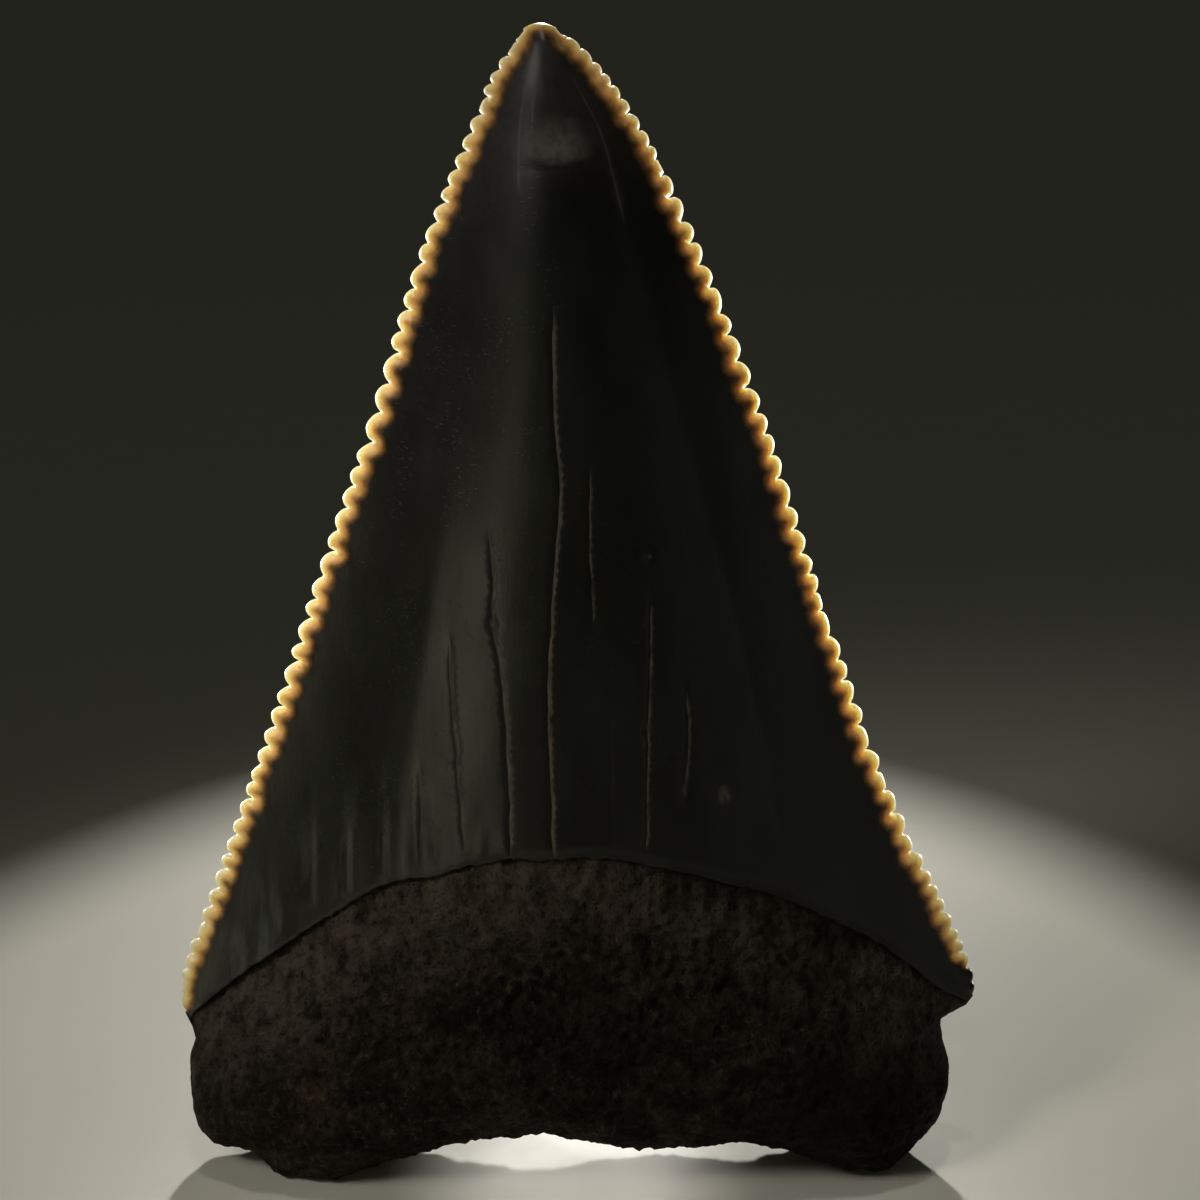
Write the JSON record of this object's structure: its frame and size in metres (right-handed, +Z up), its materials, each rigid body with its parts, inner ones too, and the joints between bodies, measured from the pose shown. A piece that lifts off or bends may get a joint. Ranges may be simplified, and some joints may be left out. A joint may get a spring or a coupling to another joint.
{
  "type": "fossil shark tooth",
  "caption": "Triangular fossil shark tooth with finely serrated cutting edges, standing on the two lobes of its root.",
  "frame": {"origin": "middle of the bounding box's base, on the plane that the two root lobes stand on", "axes": "+Z up from the root to the tip, +X across the crown, to the right when the inner face is seen, +Y out of the flatter outer face"},
  "size_m": [0.0376, 0.0094, 0.052],
  "materials": {
    "fossil_tooth": "near-black olive grey enamel with a dull polish and translucent cream serrations, over a matte brown-grey fibrous root"
  },
  "bodies": {
    "root": {"tooth": "fossil_tooth"}
  },
  "joints": []
}
